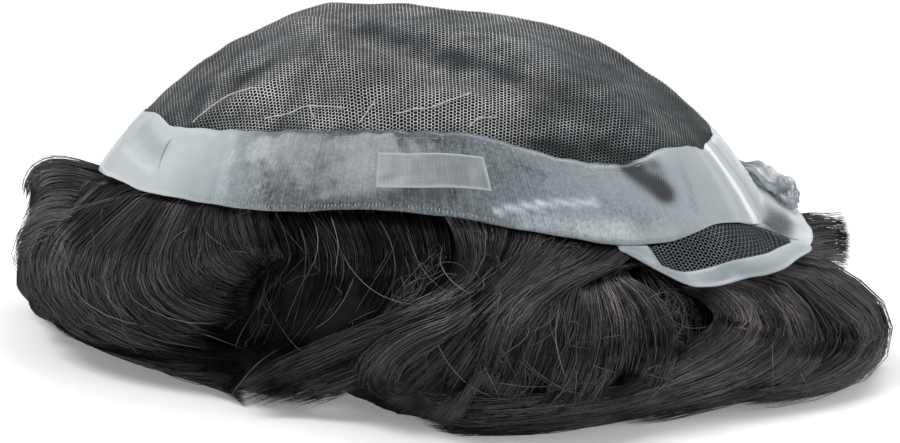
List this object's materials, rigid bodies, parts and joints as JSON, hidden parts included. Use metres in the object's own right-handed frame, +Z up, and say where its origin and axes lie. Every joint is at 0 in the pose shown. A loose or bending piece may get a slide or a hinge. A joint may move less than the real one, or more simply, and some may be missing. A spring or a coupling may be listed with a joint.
{
  "type": "toupee hairpiece",
  "caption": "Hairpiece for the top of the head, lying on its hair with its lace and film base turned up.",
  "frame": {"origin": "on the surface that the hair lies on, straight below the crown of the base", "axes": "+X to the front hairline of the piece, +Z up, away from the surface"},
  "size_m": [0.2572, 0.1799, 0.095],
  "materials": {
    "lace_net": "fine grey net with open cells",
    "clear_film": "thin cloudy film with a soft shine",
    "label_patch": "thin bare patch under the film",
    "hair_strands": "off-black hair in wavy locks, soft shine"
  },
  "bodies": {
    "root": {"lace_cap": "lace_net", "film_band": "clear_film", "front_lace": "lace_net", "front_edge": "clear_film", "rolled_edge": "clear_film", "blank_label": "label_patch", "hair": "hair_strands"}
  },
  "joints": []
}
